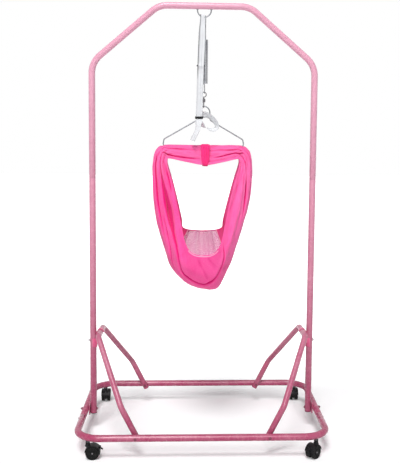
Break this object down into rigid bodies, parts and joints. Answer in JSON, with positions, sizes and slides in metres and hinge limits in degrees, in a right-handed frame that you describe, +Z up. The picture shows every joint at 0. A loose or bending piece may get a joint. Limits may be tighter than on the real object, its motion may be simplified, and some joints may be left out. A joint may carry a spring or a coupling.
{
  "type": "hanging baby cradle",
  "caption": "Tube stand on casters with a rounded rectangular base, bent braces and a tall hoop; a coil spring, swivel and wire hanger carry a cloth sling seat beside a safety strap.",
  "frame": {"origin": "on the floor, under the middle of the stand", "axes": "+X to the right along the wide side, +Y to the back, +Z up"},
  "size_m": [0.962, 0.678, 1.6736],
  "materials": {
    "pink_paint": "gloss",
    "bare_wire": "satin",
    "zinc_steel": "satin",
    "black_plastic": "satin",
    "webbing": "matte",
    "sling_fabric": "matte",
    "net_fabric": "matte"
  },
  "bodies": {
    "stand": {"top_arch": "pink_paint", "left_upright": "pink_paint", "right_upright": "pink_paint", "base_front_rail": "pink_paint", "base_rear_rail": "pink_paint", "left_brace": "pink_paint", "right_brace": "pink_paint", "left_foot_spacer": "pink_paint", "right_foot_spacer": "pink_paint", "left_brace_clip": "pink_paint", "right_brace_clip": "pink_paint", "left_brace_clip_bolt": "zinc_steel", "right_brace_clip_bolt": "zinc_steel", "left_upright_foot_bolt": "zinc_steel", "right_upright_foot_bolt": "zinc_steel", "left_front_brace_bolt": "zinc_steel", "right_front_brace_bolt": "zinc_steel", "left_rear_brace_bolt": "zinc_steel", "right_rear_brace_bolt": "zinc_steel", "left_base_seam_screw": "zinc_steel", "right_base_seam_screw": "zinc_steel", "left_upright_plug": "black_plastic", "right_upright_plug": "black_plastic", "hanging_ring": "bare_wire", "front_left_caster_stem": "zinc_steel", "front_right_caster_stem": "zinc_steel", "rear_left_caster_stem": "zinc_steel", "rear_right_caster_stem": "zinc_steel"},
    "spring_unit": {"coil_spring": "bare_wire", "safety_strap": "webbing", "strap_slider": "black_plastic"},
    "swivel_top": {"swivel_eye": "zinc_steel"},
    "swivel_bottom": {"swivel_hook": "zinc_steel"},
    "sling": {"hanger_frame": "bare_wire", "sling_cloth": "sling_fabric", "net_window": "net_fabric", "sling_tie": "sling_fabric", "strap_buckle": "black_plastic", "strap_loop": "webbing", "strap_tail": "webbing"},
    "front_left_caster": {"front_left_caster_housing": "black_plastic", "front_left_caster_axle": "zinc_steel"},
    "front_left_left_wheel": {"front_left_caster_left_wheel": "black_plastic"},
    "front_left_right_wheel": {"front_left_caster_right_wheel": "black_plastic"},
    "front_left_pedal": {"front_left_brake_pedal": "black_plastic"},
    "front_right_caster": {"front_right_caster_housing": "black_plastic", "front_right_caster_axle": "zinc_steel"},
    "front_right_left_wheel": {"front_right_caster_left_wheel": "black_plastic"},
    "front_right_right_wheel": {"front_right_caster_right_wheel": "black_plastic"},
    "front_right_pedal": {"front_right_brake_pedal": "black_plastic"},
    "rear_left_caster": {"rear_left_caster_housing": "black_plastic", "rear_left_caster_axle": "zinc_steel"},
    "rear_left_left_wheel": {"rear_left_caster_left_wheel": "black_plastic"},
    "rear_left_right_wheel": {"rear_left_caster_right_wheel": "black_plastic"},
    "rear_right_caster": {"rear_right_caster_housing": "black_plastic", "rear_right_caster_axle": "zinc_steel"},
    "rear_right_left_wheel": {"rear_right_caster_left_wheel": "black_plastic"},
    "rear_right_right_wheel": {"rear_right_caster_right_wheel": "black_plastic"}
  },
  "joints": [
    {"name": "rock", "type": "hinge", "parent": "stand", "child": "spring_unit", "pos_m": [0, 0, 1.6195], "axis": [1, 0, 0], "range_deg": [-20, 20]},
    {"name": "bounce", "type": "slide", "parent": "spring_unit", "child": "swivel_top", "axis": [0, 0, -1], "range_m": [0, 0.08], "stiffness_N_per_m": 1000, "springref_m": -0.03, "deforming": ["coil_spring", "safety_strap"]},
    {"name": "turn", "type": "hinge", "parent": "swivel_top", "child": "swivel_bottom", "pos_m": [0, 0, 1.304], "axis": [0, 0, 1], "range_deg": [-30, 30]},
    {"name": "sway", "type": "hinge", "parent": "swivel_bottom", "child": "sling", "pos_m": [0, 0, 1.2804], "axis": [0, 1, 0], "range_deg": [-12, 12]},
    {"name": "front_left_swivel", "type": "hinge", "parent": "stand", "child": "front_left_caster", "pos_m": [-0.415, -0.29294, 0.05], "axis": [0, 0, 1], "continuous": true},
    {"name": "front_left_left_roll", "type": "hinge", "parent": "front_left_caster", "child": "front_left_left_wheel", "pos_m": [-0.397, -0.29294, 0.02452], "axis": [0, 1, 0], "continuous": true},
    {"name": "front_left_right_roll", "type": "hinge", "parent": "front_left_caster", "child": "front_left_right_wheel", "pos_m": [-0.397, -0.29294, 0.02452], "axis": [0, 1, 0], "continuous": true},
    {"name": "front_left_brake", "type": "hinge", "parent": "front_left_caster", "child": "front_left_pedal", "pos_m": [-0.37161, -0.29294, 0.0423], "axis": [0, 1, 0], "range_deg": [0, 20]},
    {"name": "front_right_swivel", "type": "hinge", "parent": "stand", "child": "front_right_caster", "pos_m": [0.415, -0.29294, 0.05], "axis": [0, 0, 1], "continuous": true},
    {"name": "front_right_left_roll", "type": "hinge", "parent": "front_right_caster", "child": "front_right_left_wheel", "pos_m": [0.40254, -0.30593, 0.02452], "axis": [0.7218, -0.6921, 0], "continuous": true},
    {"name": "front_right_right_roll", "type": "hinge", "parent": "front_right_caster", "child": "front_right_right_wheel", "pos_m": [0.40254, -0.30593, 0.02452], "axis": [0.7218, -0.6921, 0], "continuous": true},
    {"name": "front_right_brake", "type": "hinge", "parent": "front_right_caster", "child": "front_right_pedal", "pos_m": [0.38497, -0.32426, 0.0423], "axis": [0.7218, -0.6921, 0], "range_deg": [0, 20]},
    {"name": "rear_left_swivel", "type": "hinge", "parent": "stand", "child": "rear_left_caster", "pos_m": [-0.415, 0.29294, 0.05], "axis": [0, 0, 1], "continuous": true},
    {"name": "rear_left_left_roll", "type": "hinge", "parent": "rear_left_caster", "child": "rear_left_left_wheel", "pos_m": [-0.415, 0.31094, 0.02452], "axis": [-1, 0, 0], "continuous": true},
    {"name": "rear_left_right_roll", "type": "hinge", "parent": "rear_left_caster", "child": "rear_left_right_wheel", "pos_m": [-0.415, 0.31094, 0.02452], "axis": [-1, 0, 0], "continuous": true},
    {"name": "rear_right_swivel", "type": "hinge", "parent": "stand", "child": "rear_right_caster", "pos_m": [0.415, 0.29294, 0.05], "axis": [0, 0, 1], "continuous": true},
    {"name": "rear_right_left_roll", "type": "hinge", "parent": "rear_right_caster", "child": "rear_right_left_wheel", "pos_m": [0.415, 0.31094, 0.02452], "axis": [-1, 0, 0], "continuous": true},
    {"name": "rear_right_right_roll", "type": "hinge", "parent": "rear_right_caster", "child": "rear_right_right_wheel", "pos_m": [0.415, 0.31094, 0.02452], "axis": [-1, 0, 0], "continuous": true}
  ]
}
